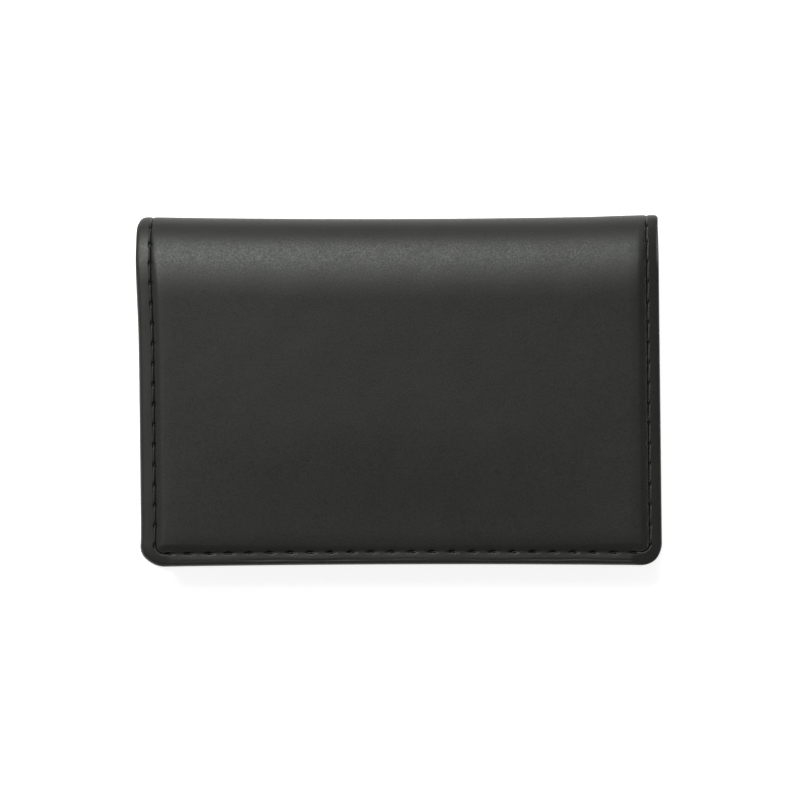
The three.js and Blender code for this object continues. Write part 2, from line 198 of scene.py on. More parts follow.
def skewed(x, y, z):
    """The case is sewn very slightly out of square."""
    x, y, z = np.broadcast_arrays(np.asarray(x, float), y, z)
    bow = BOW * (1 - (x / ABOUT_HALF) ** 2) * smooth((-14 - y) / 18)
    flare = smooth(-x / ABOUT_HALF) * sum(far * hump((y - at) / over) for far, at, over in LEFT_FLARES)
    rise = RIGHT_RISE * smooth((x - 36) / 12) * smooth((y - 24) / 9)
    across = ACROSS * (1 - smooth((np.abs(x) - 49.8) / 2))
    return np.stack([x + across - LEAN * y - flare, y + bow + rise, z], -1) * MM


BACK = Half(back_high[0], back_low[1], BACK_PAD, False)
FRONT = Half(front_high[0], front_low[1], FRONT_PAD, True)


# ---------------------------------------------------------------- sheets with a U-shaped edge


class Layout:
    """The lines that a sheet is made on. A column crosses the edge band; the lines fill the inside of it."""

    def __init__(self, half, x_lines, s_lines, corner_steps):
        self.half = half
        self.x_lines = np.asarray(x_lines, float)
        self.s_lines = np.asarray(s_lines, float)  # from the free edge towards the fold
        w, f = half.corner_x, half.corner_s
        n_s, n_x = len(self.s_lines), len(self.x_lines)

        def arc(x, angle, at):
            for i in range(1, corner_steps):
                t = i / corner_steps
                a = angle + t * math.pi / 2
                yield (x, f), (math.cos(a), math.sin(a)), at + t * SEAM_CORNER

        # Each column: where it starts, which way is out, and how far along the seam it lies.
        side = self.s_lines[::-1]
        columns = [((-w, s), (-1, 0), side[0] - s) for s in side]
        at = side[0] - f
        columns += arc(-w, math.pi, at)
        at += SEAM_CORNER
        columns += [((x, f), (0, -1), at + x + w) for x in self.x_lines]
        at += 2 * w
        columns += arc(w, 1.5 * math.pi, at)
        at += SEAM_CORNER
        columns += [((w, s), (1, 0), at + s - f) for s in self.s_lines]
        self.base, self.out, self.seam = (np.array(v, float) for v in zip(*columns))
        # For each column, which point of the inside grid it ends on.
        left = [(n_s - 1 - i, 0) for i in range(n_s)]
        bottom = [(0, i) for i in range(n_x)]
        right = [(i, n_x - 1) for i in range(n_s)]
        turn = corner_steps - 1
        self.joins = left + [(0, 0)] * turn + bottom + [(0, n_x - 1)] * turn + right

    def band(self, e):
        flat = self.base + self.out * (CORNER - e)
        return flat[:, 0], flat[:, 1]


def drawn_in(half, x, s, e):
    """Draws the sheet's side edges in where it turns round the fold."""
    t = smooth(s / FOLD_LENGTH)
    most = np.where(x < 0, LEFT_PULL_IN, RIGHT_PULL_IN)
    near = np.clip((s - PULL_FROM) / (FOLD_LENGTH - PULL_FROM), 0, 1) ** 2
    pull = most * smooth(near) * (1 - (np.clip(e, 0, CORNER) / CORNER) ** 2)
    narrow = (half.half_width - SPINE_HALF_WIDTH) * t
    inside = np.abs(x) / half.corner_x
    return x - np.sign(x) * (pull * (np.abs(x) > half.corner_x) + narrow * np.minimum(inside, 1))


def sheet(name, layout, rows, outer, inner):
    """A closed sheet. rows runs round its edge, outer face to inner, as (inset, depth function)."""
    half = layout.half
    grid_x, grid_s = np.meshgrid(layout.x_lines, layout.s_lines)
    edge = inset_of(half, grid_x, grid_s)
    n_s, n_x = grid_x.shape
    points = [
        half.place(drawn_in(half, grid_x, grid_s, edge), grid_s, f(grid_x, grid_s, edge, None)).reshape(-1, 3)
        for f in (outer, inner)
    ]
    columns = len(layout.base)
    for e, depth in rows:
        x, s = layout.band(e)
        points.append(half.place(drawn_in(half, x, s, e), s, depth(x, s, np.full(columns, e), layout.seam)))
    first = 2 * n_s * n_x
    index = np.empty((len(rows) + 2, columns), int)
    for c, (i, j) in enumerate(layout.joins):
        index[0, c] = i * n_x + j
        index[-1, c] = n_s * n_x + i * n_x + j
    index[1:-1] = first + np.arange(len(rows) * columns).reshape(len(rows), columns)
    faces = []
    for i in range(n_s - 1):
        for j in range(n_x - 1):
            a = i * n_x + j
            faces.append((a, a + 1, a + n_x + 1, a + n_x))
            b = a + n_s * n_x
            faces.append((b, b + n_x, b + n_x + 1, b + 1))
    for r in range(len(rows) + 1):
        for c in range(columns - 1):
            quad = (index[r, c], index[r + 1, c], index[r + 1, c + 1], index[r, c + 1])
            faces.append(tuple(dict.fromkeys(quad)))
    last = (n_s - 1) * n_x
    for j in range(n_x - 1):
        a, b = last + j, n_s * n_x + last + j
        faces.append((a, a + 1, b + 1, b))
    faces.append(tuple(index[:, 0][::-1]))
    faces.append(tuple(index[:, -1]))
    return mesh_piece(name, np.concatenate(points), faces)


def inset_of(half, x, s):
    return np.minimum(half.half_width - np.abs(x), s - half.free)


def mesh_piece(name, points, faces):
    data = bpy.data.meshes.new(name)
    data.from_pydata([tuple(p) for p in points], [], [tuple(int(i) for i in f) for f in faces])
    data.validate()
    bm = bmesh.new()
    bm.from_mesh(data)
    bmesh.ops.recalc_face_normals(bm, faces=bm.faces)
    bm.to_mesh(data)
    bm.free()
    for p in data.polygons:
        p.use_smooth = True
    piece = bpy.data.objects.new(name, data)
    bpy.context.scene.collection.objects.link(piece)
    return piece


# ---------------------------------------------------------------- shape of the cover

WAVES = 7


def waves(x, s, size, height, seed):
    """Soft unevenness: sine waves of about one size, each in a direction of its own."""
    r = np.random.default_rng(seed)
    total = np.zeros(np.broadcast(x, s).shape)
    for _ in range(WAVES):
        a = r.uniform(0, 2 * math.pi)
        k = 2 * math.pi / (size * r.uniform(0.7, 1.8))
        total = total + np.sin(k * (x * math.cos(a) + s * math.sin(a)) + r.uniform(0, 2 * math.pi))
    return total * height / WAVES**0.5


# Where lines cross the edge band, from each stitch hole. They lie closer along the free edge, at its wedges.
ROUND_SIDE_HOLES = [-0.5, -0.28, 0, 0.28, 0.5, 1.15, 2.0, 2.85]
ROUND_FREE_HOLES = [-1.42, -1.2, -0.95, -0.7, -0.45, -0.22, 0, 0.22, 0.42, 0.65, 1.3, 2.0]
# Insets of the rows round the cover's outer face, closest together at the seam.
OUTSIDE_ROWS = [4.3, 4.05, 3.8, 3.55, 3.3, 3.1, 2.95, 2.84, 2.74, 2.65, 2.56, 2.47, 2.42]
OUTSIDE_ROWS += [2.37, 2.32, 2.27, 2.22, 2.16, 2.08, 1.9]
OUTSIDE_ROWS += [1.7, 1.5, 1.35, 1.25, 1.17, 1.1, 1.03, 0.96, 0.88, 0.8]
RIM_ANGLES = (90, 75, 60, 45, 30, 15, 0, -18, -36, -54, -72, -90)
RIM_REACH = 0.75
TURNED_IN = 0.48  # thickness of the leather that is turned in under the edge
ROLL = 3.8  # how far from its foot the panel rolls over
CROWN = 0.2  # the part of the panel's height that it gains slowly towards its middle
GROOVE, GROOVE_LOST = 0.34, 0.26  # the seam's groove along the sides, and what is gone of it at the fold
OUTER_WALL, INNER_WALL = 0.12, 0.28  # widths of the groove's two walls
DIP_WIDTH = 0.75  # of the shallow dip on both sides of the seam
HOLE, HOLE_RADIUS = 0.6, 0.4
WEDGE, WEDGE_LENGTH = 0.6, 1.15  # the dent that leads up to each hole along the free edge
LEFT_FALL, RIGHT_FALL, FREE_FALL = 0.32, 0.6, 0.06  # how far each edge falls off outside the seam
CREASE = 0.045  # depth of the crease in the turned leather


class Cover:
    def __init__(self, half, pitch, seed):
        self.half = half
        self.seed = seed
        side = FOLD_LENGTH - half.free - CORNER
        bottom = 2 * half.corner_x
        total = 2 * side + 2 * SEAM_CORNER + bottom
        self.stitches = round(total / pitch)
        self.pitch = total / self.stitches
        self.holes = np.arange(self.stitches + 1) * self.pitch
        rows = self.lines_round_holes(ROUND_SIDE_HOLES)
        rows = FOLD_LENGTH - rows[(rows > 0) & (rows < side - 0.15)]
        near_end = FOLD_LENGTH - np.array([0, 0.06, 0.14])
        s_lines = thinned(np.concatenate([rows, near_end, [half.corner_s]]), 0.06)
        x = self.lines_round_holes(ROUND_FREE_HOLES) - side - SEAM_CORNER - bottom / 2
        x = x[np.abs(x) < bottom / 2 - 0.15]
        x_lines = np.sort(np.concatenate([x, [-bottom / 2, bottom / 2]]))
        self.layout = Layout(half, x_lines, s_lines, COVER_CORNER_STEPS)
        self.side, self.bottom = side, bottom

    def lines_round_holes(self, around):
        return (self.holes[:, None] + np.array(around)).ravel()

    def puff(self, x, s, e):
        """How far the padded sheet stands proud between the seams. It runs evenly into the fold."""
        half = self.half
        across, along = half.half_width - np.abs(x), s - half.free
        foot = SEAM + 0.2

        def rounded(inset):
            return 1 - np.clip((foot + ROLL - inset) / ROLL, 0, 1) ** 2

        middle = np.clip(1 - (x / 45) ** 2, 0, 1)
        top = CORNER - 0.7 * middle * (along < CORNER + 1)  # at the free edge's middle it rises nearer the seam
        steep = 1 - np.clip((top - e) / (top - foot), 0, 1) ** 2
        round_off = rounded(across) * rounded(along)
        crown = np.clip(1 - np.abs(x / (half.half_width - SEAM)) ** 3, 0, 1)
        crown = crown * (1 - np.clip((half.free * 0.5 - s) / (-half.free * 0.5 - SEAM), 0, 1) ** 3)
        # The left side rolls over more tightly, and the middle of the free edge more softly.
        share = 0.16 + 0.14 * smooth((x + 40) / 80) + 0.42 * middle
        low = 0.65 * middle * (1 - smooth((along - SEAM) / 26))  # the part of its height that is missing there
        height = 1 - CROWN - share + share * round_off + CROWN * crown
        return steep * height * half.proud(x, s) * (1 - low)

    def uneven(self, x, s, e):
        inside = smooth((e - SEAM) / 4) * smooth((FOLD_LENGTH - s) / 4)
        return inside * (waves(x, s, 34, 0.025, self.seed) + waves(x, s, 12, 0.006, self.seed + 1))

    def base(self, x, s, e):
        return self.uneven(x, s, e) - self.puff(x, s, e)

    def outer(self, x, s, e, along):
        depth = self.base(x, s, e)
        if along is None:
            return depth
        off = e - SEAM
        nearest = np.abs((along + self.pitch / 2) % self.pitch - self.pitch / 2)
        before = (-along) % self.pitch  # to the next hole
        free = self.on_free_edge(along)
        outside = off < 0  # the groove's outer wall is the steeper one
        wide = np.where(outside, OUTER_WALL, INNER_WALL - 0.1 * free)
        end = smooth((s - 7) / 4)
        groove = (GROOVE - GROOVE_LOST * end) * (1 - free) * hump(off / wide)
        groove = groove + (0.03 + 0.02 * free - 0.02 * (x > 45)) * hump(off / DIP_WIDTH)
        hole_width = np.where(outside, 0.16, wide + 0.1)
        hole = HOLE * (1 - 0.8 * end) * np.exp(-((nearest / HOLE_RADIUS) ** 2) - (off / hole_width) ** 2)
        gap = np.clip(1 - (before - 0.25) / WEDGE_LENGTH, 0, 1) * smooth(before / 0.25)
        wedge_width = wide + np.where(outside, 0.0, 0.2) * gap
        wedge = WEDGE * free * gap**0.7 * hump(off / wedge_width)
        return depth + groove + hole + wedge + self.flange(x, s, e, along, free)

    def on_free_edge(self, along):
        start = self.side + SEAM_CORNER
        return smooth((along - start) / 2) * smooth((start + self.bottom - along) / 2)

    def flange(self, x, s, e, along, free):
        """Outside the seam the edge falls off, and along the free edge the turned leather is creased."""
        level = smooth((s - 8) / 3.5)  # on the fold the edge falls off less
        right = (RIGHT_FALL + 0.35 * hump((s - 3) / 9)) * (1 - 0.85 * level)
        side = np.where(x > 0, right, LEFT_FALL * (1 - 0.5 * level))
        power = 1.2 - 0.6 * smooth((x + 20) / 40)  # the right flange bends down right beside the seam
        fall = (side * (1 - free) + FREE_FALL * free) * np.clip((SEAM - e) / SEAM, 0, 1) ** power
        swell = -0.03 * np.sin(math.pi * np.clip(e / SEAM, 0, 1)) ** 2
        wander = 1.05 + 0.1 * np.sin(along / 5.3 + self.seed) + 0.06 * np.sin(along / 1.9 + 2)
        deep = CREASE * free * np.clip(0.6 + 0.5 * np.sin(along / 7.7 + 1) + 0.3 * np.sin(along / 2.3), 0, 1)
        ripple = 0.02 * np.sin(along / 3.1 + self.seed) * smooth((SEAM - e) / 1.2)
        return fall + swell + deep * hump((e - wander) / 0.18) + ripple

    def inner(self, x, s, e, along):
        """Under the seam the leather is pressed down to the edge that is turned in."""
        pressed = hump((e - SEAM + 0.4) / 1.1)
        return SKIN + self.base(x, s, e) + pressed * (self.thickness(s) - 0.52 - SKIN)

    def thickness(self, s):
        return EDGE_THICKNESS + (FOLD_THICKNESS - EDGE_THICKNESS) * at_fold(s)

    def rim(self, angle):
        rise = math.sin(angle)
        reach = RIM_REACH * (1 - math.cos(angle))

        def depth(x, s, e, along):
            half = self.thickness(s) / 2
            top = self.outer(x, s, e, along) if rise > 0 else 0
            return half * (1 - rise) + top * abs(rise)

        return reach, depth

    def under(self, lift):
        return lambda x, s, e, along: self.thickness(s) - lift

    def make(self, name):
        rows = [(e, self.outer) for e in OUTSIDE_ROWS]
        rows += [self.rim(math.radians(a)) for a in RIM_ANGLES]
        rows += [(e, self.under(0)) for e in (1.1, 1.6, 2.6, 3.6, 4.3)]
        rows += [(e, self.under(TURNED_IN)) for e in (4.3, 2.6, 1.0)]
        rows += [(e, self.inner) for e in (0.95, 2.0, 3.0, 4.0)]
        return sheet(name, self.layout, rows, self.outer, self.inner)


def thinned(lines, gap):
    """The lines in order, without those that lie within gap below the last one kept. The lowest is kept."""
    kept = []
    for v in np.sort(lines)[::-1]:
        if not kept or kept[-1] - v > gap:
            kept.append(v)
    kept[-1] = min(lines)
    return np.array(kept[::-1])


# ---------------------------------------------------------------- stitches


def strand(path, sideways, up, radius, turns, sides=10):
    """Points and faces of one stitch: three plies twisted round a path."""
    n = len(path)
    angle = np.linspace(0, 2 * math.pi, sides, endpoint=False)
    t = np.linspace(0, 1, n)[:, None]
    ply = 1 + 0.13 * np.cos(3 * (angle[None] - 2 * math.pi * turns * t))
    taper = np.minimum(1, 0.35 + 6 * np.minimum(t, 1 - t))
    r = radius * ply * taper
    ring = path[:, None] + sideways * (r * np.cos(angle))[..., None] + up * (r * np.sin(angle))[..., None]
    faces = []
    for i in range(n - 1):
        for j in range(sides):
            k = (j + 1) % sides
            faces.append((i * sides + j, i * sides + k, (i + 1) * sides + k, (i + 1) * sides + j))
    faces.append(tuple(range(sides))[::-1])
    faces.append(tuple((n - 1) * sides + j for j in range(sides)))
    return ring.reshape(-1, 3), faces


def gather(name, strands):
    points, faces, offset = [], [], 0
    for p, f in strands:
        points.append(p)
        faces += [tuple(i + offset for i in face) for face in f]
        offset += len(p)
    return mesh_piece(name, np.concatenate(points), faces)


def on_seam(cover, along, e):
    """Where a point of the seam lies on the sheet, from its distance along the seam and its inset."""
    half = cover.half
    w, f = half.corner_x, half.corner_s
    side, corner, bottom = cover.side, SEAM_CORNER, cover.bottom
    out = CORNER - e
    a = np.clip(along - side, 0, corner) / corner * math.pi / 2
    b = np.clip(along - side - corner - bottom, 0, corner) / corner * math.pi / 2
    on_bottom = np.clip(along - side - corner, 0, bottom) - w
    left, right = along < side + corner, along > side + corner + bottom
    x = np.where(left, -w - out * np.cos(a), np.where(right, w + out * np.sin(b), on_bottom))
    s = np.where(left, f - out * np.sin(a), np.where(right, f - out * np.cos(b), f - out))
    s = s + np.clip(side - along, 0, None) + np.clip(along - side - 2 * corner - bottom, 0, None)
    return x, s


THREAD_DEPTH = 0.15  # of a stitch's centre line below the leather's face
FREE_RISE = 0.13  # how much less deep it starts along the free edge
FREE_SINK = 0.5  # and how far it then sinks into the wedge


def seam_stitches(cover, name):
    half = cover.half
    t = np.linspace(0, 1, 15)
    strands = []
    for k, (start, end) in enumerate(zip(cover.holes[:-1], cover.holes[1:])):
        along = start + (end - start) * t
        r = np.random.default_rng(100 + k + cover.seed)
        slant, lift = r.normal(0.09, 0.03), r.normal(0, 0.015)
        for inside in (False, True):
            e = SEAM - 0.06 + slant * (1 - 2 * t) * (-1 if inside else 1)
            x, s = on_seam(cover, along, e)
            free = cover.on_free_edge(along)
            bend = np.abs(2 * t - 1) ** (5 + 9 * free)  # both ends turn down into the holes
            if inside:
                depth, radius = inner_face(half, s) - 0.4 * bend, INNER_THREAD
            else:
                sunk = FREE_SINK * free * smooth((t - 0.14) / 0.22)
                depth, radius = THREAD_DEPTH - FREE_RISE * free + lift + sunk + 0.5 * bend, THREAD
            path = half.place(drawn_in(half, x, s, e), s, depth)
            forward = np.gradient(path, axis=0)
            forward /= np.linalg.norm(forward, axis=1)[:, None]
            lower = half.place(drawn_in(half, x, s, e), s, depth + 0.1)
            up = path - lower
            up /= np.linalg.norm(up, axis=1)[:, None]
            sideways = np.cross(forward, up)
            strands.append(strand(path, sideways[:, None], up[:, None], radius * MM, 2.0))
    return gather(name, strands)


def lining_top(s):
    """Depth of the lining's side that lies on the cover."""
    return LINING_TOP + (FOLD_LINING_TOP - LINING_TOP) * at_fold(s)


def inner_face(half, s):
    """Depth of what the seam comes out of on the inside."""
    lining = lining_top(s) + LINING
    y = s + FOLD_START
    if half.over:
        face = np.where(y < UPPER_SLOT_Y, UPPER_SLOT_FACE, lining)
        return np.where(y < LOWER_SLOT_Y, LOWER_SLOT_FACE, face)
    return np.where(y < POCKET_MOUTH_Y, MARGIN_FACE, lining)


# ---------------------------------------------------------------- cover and seam

back_cover = Cover(BACK, STITCH, 11)
front_cover = Cover(FRONT, STITCH, 23)


def on_back(piece):
    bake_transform(piece)


def on_front(piece):
    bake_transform(piece)


cover_back = back_cover.make("cover_back")
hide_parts("back_cover_leather", "spine_leather")
cover_front = front_cover.make("cover_front")
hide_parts("front_cover_leather")
seam_back = seam_stitches(back_cover, "seam_back")
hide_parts("back_seam_thread", "spine_thread_left", "spine_thread_right")
seam_front = seam_stitches(front_cover, "seam_front")
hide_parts("front_seam_thread")


# ---------------------------------------------------------------- lining and flat slots


def lining(half, name):
    def top(x, s, e, along):
        return lining_top(s)

    def face(x, s, e, along):
        return lining_top(s) + LINING + waves(x, s, 9, 0.012, 5) * smooth((FOLD_LENGTH - s) / 3)

    w, f = half.corner_x, half.corner_s
    on_flat, on_bend = np.linspace(f, -4, 30)[:-1], np.linspace(-4, FOLD_LENGTH - 0.1, 34)
    s_lines = np.concatenate([on_flat, on_bend, [FOLD_LENGTH]])
    layout = Layout(half, np.linspace(-w, w, 60), s_lines, CORNER_STEPS)
    rows = [(e, top) for e in (3.6, 2.4, 1.35)]
    rows += [(1.25, lambda x, s, e, along: lining_top(s) + LINING / 2)]
    rows += [(e, face) for e in (1.35, 2.4, 3.6)]
    return sheet(name, layout, rows, top, face)


def slot(name, mouth_y, face_depth):
    """A flat card slot: a leather sheet with a creased and stitched mouth."""
    half = FRONT
    w, f = half.corner_x, half.corner_s
    end = mouth_y - FOLD_START
    top_depth = face_depth - SLOT_LEATHER

    def at(depth):
        return lambda x, s, e, along: depth

    def face(x, s, e, along):
        to_mouth = end - s
        round_off = 0.16 * hump(to_mouth / 0.22)
        groove = 0.2 * hump((to_mouth - MOUTH_SEAM) / 0.22) * (np.abs(x) < w)
        crease = 0.1 * hump((to_mouth - MOUTH_CREASE) / 0.18)
        return face_depth - round_off - groove - crease + waves(x, s, 20, 0.012, 9)

    near = [0, 0.08, 0.18, 0.35, 0.7, 1.3, 1.7, 1.82, 1.91, 2, 2.09, 2.18, 2.3, 2.8, 3.35]
    near += [3.5, 3.6, 3.7, 3.85, 4.3]
    s_lines = np.sort(np.concatenate([end - np.array(near), np.linspace(f, end - 5.5, 24)]))
    layout = Layout(half, np.linspace(-w, w, 80), s_lines, CORNER_STEPS)
    rows = [(e, at(top_depth)) for e in (4, 2.6, 1.55)]
    rows += [(1.4, at(top_depth + SLOT_LEATHER * part)) for part in (0.3, 0.7)]
    rows += [(e, face) for e in (1.55, 2.6, 4)]
    return sheet(name, layout, rows, at(top_depth), face)


def line_stitches(name, start, end, point, up):
    """Stitches in a row. point gives a place in metres from a distance and a depth."""
    count = round((end - start) / MOUTH_STITCH)
    t = np.linspace(0, 1, 11)
    strands = []
    for k in range(count):
        along = start + (end - start) * (k + t) / count
        path = point(along, 0.06 + 0.4 * np.abs(2 * t - 1) ** 6)
        forward = np.gradient(path, axis=0)
        forward /= np.linalg.norm(forward, axis=1)[:, None]
        sideways = np.cross(forward, up)
        strands.append(strand(path, sideways[:, None], np.array(up), MOUTH_THREAD * MM, 1.5, 8))
    return gather(name, strands)


lining_back = lining(BACK, "lining_back")
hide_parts("back_lining", "spine_lining")
lining_front = lining(FRONT, "lining_front")
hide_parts("front_lining")

upper_slot = slot("slot_upper", UPPER_SLOT_Y, UPPER_SLOT_FACE)
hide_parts("upper_card_slot")
lower_slot = slot("slot_lower", LOWER_SLOT_Y, LOWER_SLOT_FACE)
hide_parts("lower_card_slot")


def slot_thread(name, mouth_y, face_depth):
    s = mouth_y - MOUTH_SEAM - FOLD_START
    reach = FRONT.half_width - SEAM - 1.6

    def point(along, depth):
        return FRONT.place(along, np.full_like(along, s), face_depth - depth + 0.02)

    return line_stitches(name, -reach, reach, point, (0.0, 0.0, -1.0))


upper_thread = slot_thread("slot_upper_stitches", UPPER_SLOT_Y, UPPER_SLOT_FACE)
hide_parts("upper_slot_thread")
lower_thread = slot_thread("slot_lower_stitches", LOWER_SLOT_Y, LOWER_SLOT_FACE)
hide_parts("lower_slot_thread")


# ---------------------------------------------------------------- card pocket

panel_low, panel_high = mm_box("pocket_panel")
WALL_Y = panel_low[1]
PANEL_FOOT = panel_low[2]
PANEL_FACE = panel_high[2]
PANEL_HALF = panel_high[0]
PANEL_LEATHER = 0.7
PANEL_CORNER = 2.5
PANEL_RUN = 44  # about the length of the flat part, up to the mouth
GUSSET_LEATHER = 0.42
NOTCH = 10.0
NOTCH_Y = POCKET_MOUTH_Y + 2


def mouth_edge(x, inset=0.0):
    """How far the pocket panel reaches at x: straight, with a thumb notch that has softened shoulders."""
    notch = NOTCH_Y - np.sqrt(np.clip((NOTCH + inset) ** 2 - x**2, 0, None))
    straight = POCKET_MOUTH_Y - inset
    soft = 0.8
    blend = np.clip(0.5 + 0.5 * (notch - straight) / soft, 0, 1)
    low = notch * (1 - blend) + straight * blend - soft * blend * (1 - blend)
    return np.where(np.abs(x) < NOTCH + inset, low, straight)


def pocket_panel_piece():
    """The panel stands up from the seam, rounds over and lies flat as far as its mouth."""
    even, round_notch = np.linspace(-PANEL_HALF, PANEL_HALF, 90), np.linspace(-13, 13, 70)
    x_lines = np.unique(np.concatenate([even, round_notch, [-PANEL_HALF + 0.2]]))
    wall = np.linspace(0, PANEL_FACE - PANEL_CORNER - PANEL_FOOT, 5)[:-1]
    turn = np.linspace(0, math.pi / 2, 12)
    near_mouth = np.array([2.6, 2.25, 2.1, 2.0, 1.9, 1.75, 1.2, 0.6, 0.3, 0.15, 0.06, 0.0])
    flat = np.unique(np.concatenate([np.linspace(0.04, 0.9, 26), 1 - near_mouth / PANEL_RUN]))
    cy, cz = WALL_Y + PANEL_CORNER, PANEL_FACE - PANEL_CORNER
    layers = []
    for inward in (0.0, PANEL_LEATHER):
        rows = []
        for h in wall:
            rows.append((WALL_Y + inward, PANEL_FOOT + h))
        r = PANEL_CORNER - inward
        for a in turn:
            rows.append((cy - r * math.cos(a), cz + r * math.sin(a)))
        edge = mouth_edge(x_lines)
        for v in flat:
            y = cy + (edge - cy) * v
            z = PANEL_FACE - inward
            if inward == 0:
                to_edge = (1 - v) * (edge - cy)
                z = z - 0.2 * hump(to_edge / 0.25) - 0.2 * hump((to_edge - MOUTH_SEAM) / 0.22)
                side = PANEL_HALF - np.abs(x_lines)
                z = z - 0.2 * hump(side / 0.3) + waves(x_lines, y, 18, 0.02, 31) * smooth(side / 3)
            rows.append((y, z))
        layers.append(np.array([skewed(x_lines, y, z) for y, z in rows]))
    return closed_layers("pocket_front", layers[0], layers[1])


def closed_layers(name, first, second):
    """Two grids of points, joined round their borders into one closed sheet."""
    n, m, _ = first.shape
    points = np.concatenate([first.reshape(-1, 3), second.reshape(-1, 3)])
    top, low = np.arange(n * m).reshape(n, m), np.arange(n * m).reshape(n, m) + n * m
    faces = []
    for i in range(n - 1):
        for j in range(m - 1):
            faces.append((top[i, j], top[i, j + 1], top[i + 1, j + 1], top[i + 1, j]))
            faces.append((low[i, j], low[i + 1, j], low[i + 1, j + 1], low[i, j + 1]))
    border = [(0, j) for j in range(m)] + [(i, m - 1) for i in range(1, n)]
    border += [(n - 1, j) for j in range(m - 2, -1, -1)] + [(i, 0) for i in range(n - 2, 0, -1)]
    for a, b in zip(border, border[1:] + border[:1]):
        faces.append((top[a], low[a], low[b], top[b]))
    return mesh_piece(name, points, faces)


pocket_front = pocket_panel_piece()
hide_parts("pocket_panel")

mouth_x = np.linspace(-PANEL_HALF + 2, PANEL_HALF - 2, 1500)
mouth_y = mouth_edge(mouth_x, MOUTH_SEAM)
mouth_run = np.concatenate([[0], np.cumsum(np.hypot(np.diff(mouth_x), np.diff(mouth_y)))])


def mouth_point(along, depth):
    x = np.interp(along, mouth_run, mouth_x)
    y = np.interp(along, mouth_run, mouth_y)
    return skewed(x, y, PANEL_FACE + 0.02 - depth)


pocket_stitches = line_stitches("pocket_mouth_stitches", 0, mouth_run[-1], mouth_point, (0.0, 0.0, 1.0))
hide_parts("pocket_mouth_thread")


def margin_piece():
    """The pocket's sewn margin, a strip of leather round three sides."""
    half = BACK
    w, f = half.corner_x, half.corner_s
    s_lines = np.linspace(f, POCKET_MOUTH_Y - FOLD_START, 50)
    layout = Layout(half, np.linspace(-w, w, 90), s_lines, CORNER_STEPS)
    low, high = 2.42, MARGIN_FACE
    # The strip's section, as (inset, depth), with a groove for the seam.
    section = [(4.15, high), (3.2, high), (2.9, high - 0.1), (2.6, high - 0.2), (2.3, high - 0.1)]
    section += [(2.0, high), (1.75, high - 0.05), (1.6, high - 0.2)]
    section += [(1.6, low + 0.1), (1.7, low), (3.0, low), (4.15, low)]
    columns, count = len(layout.base), len(section)
    points = []
    for e, depth in section:
        x, s = layout.band(e)
        points.append(half.place(x, s, np.full(columns, depth)))
    faces = []
    for r in range(count):
        q = (r + 1) % count
        for c in range(columns - 1):
            faces.append((r * columns + c, q * columns + c, q * columns + c + 1, r * columns + c + 1))
    faces.append(tuple(r * columns for r in range(count)))
    faces.append(tuple(r * columns + columns - 1 for r in range(count))[::-1])
    return mesh_piece("pocket_margin", np.concatenate(points), faces)


pocket_margin = margin_piece()
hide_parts("pocket_seam_margin")


def gusset(side, node, name):
    """A soft strip folded once, between the sewn margin and the panel's side."""
    low, high = mm_box(node)
    seam_x, fold_x = (high[0], low[0]) if side > 0 else (low[0], high[0])
    bottom, top = low[2], high[2]
    t = np.linspace(0, 1, 25)
    reach = np.sin(math.pi * t) ** 0.8
    y_lines = np.linspace(low[1], high[1], 40)
    layers = []
    for thick in (0.0, GUSSET_LEATHER):
        rows = []
        for y in y_lines:
            fullness = 0.55 + 0.45 * smooth((y - low[1]) / 12)
            ripple = 0.12 * math.sin(y * 0.35 + side) * fullness
            x = seam_x - side * (thick + (abs(seam_x - fold_x) - 0.45) * reach * fullness + ripple * reach)
            rows.append(skewed(x, y, bottom + (top - bottom) * t))
        layers.append(np.array(rows))
    piece = closed_layers(name, layers[0], layers[1])
    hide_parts(node)
    return piece


gusset_left = gusset(-1, "pocket_gusset_left", "gusset_left")
gusset_right = gusset(1, "pocket_gusset_right", "gusset_right")

# ---------------------------------------------------------------- padding and boards


def pad(half, node, name):
    """A foam sheet with a crowned face and rounded sides."""
    low, high = mm_box(node)
    n, m = 30, 40
    u, v = np.meshgrid(np.linspace(-1, 1, m), np.linspace(-1, 1, n))
    x = (low[0] + high[0]) / 2 + u * (high[0] - low[0]) / 2
    y = (low[1] + high[1]) / 2 + v * (high[1] - low[1]) / 2
    crown = (1 - np.abs(u) ** 10) * (1 - np.abs(v) ** 10)
    rise = high[2] - low[2]
    flat, crowned = (low[2], high[2]) if half.over else (high[2], low[2])
    first = skewed(x, y, flat + (crowned - flat) * (0.25 + 0.75 * crown ** 0.6))
    second = skewed(x, y, np.full_like(x, flat))
    piece = closed_layers(name, first, second)
    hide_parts(node)
    return piece


pad_front = pad(FRONT, "front_padding", "pad_front")
pad_back = pad(BACK, "back_padding", "pad_back")

# ---------------------------------------------------------------- materials


def material(name):
    made = bpy.data.materials.new(name)
    made.use_nodes = True
    nodes = made.node_tree.nodes
    return made, nodes, made.node_tree.links, nodes["Principled BSDF"]


def add(nodes, kind, **settings):
    node = nodes.new(kind)
    for key, value in settings.items():
        setattr(node, key, value)
    return node


def object_place(nodes):
    return add(nodes, "ShaderNodeTexCoord").outputs["Object"]


def weighted(nodes, links, value, factor, other):
    """value times factor, plus other."""
    node = add(nodes, "ShaderNodeMath", operation="MULTIPLY_ADD")
    node.inputs[1].default_value = factor
    links.new(value, node.inputs[0])
    links.new(other, node.inputs[2])
    return node.outputs[0]


def ramp(nodes, links, value, low, high, start=0.0, end=1.0):
    node = add(nodes, "ShaderNodeMapRange")
    for key, number in (("From Min", start), ("From Max", end), ("To Min", low), ("To Max", high)):
        node.inputs[key].default_value = number
    links.new(value, node.inputs["Value"])
    return node.outputs["Result"]


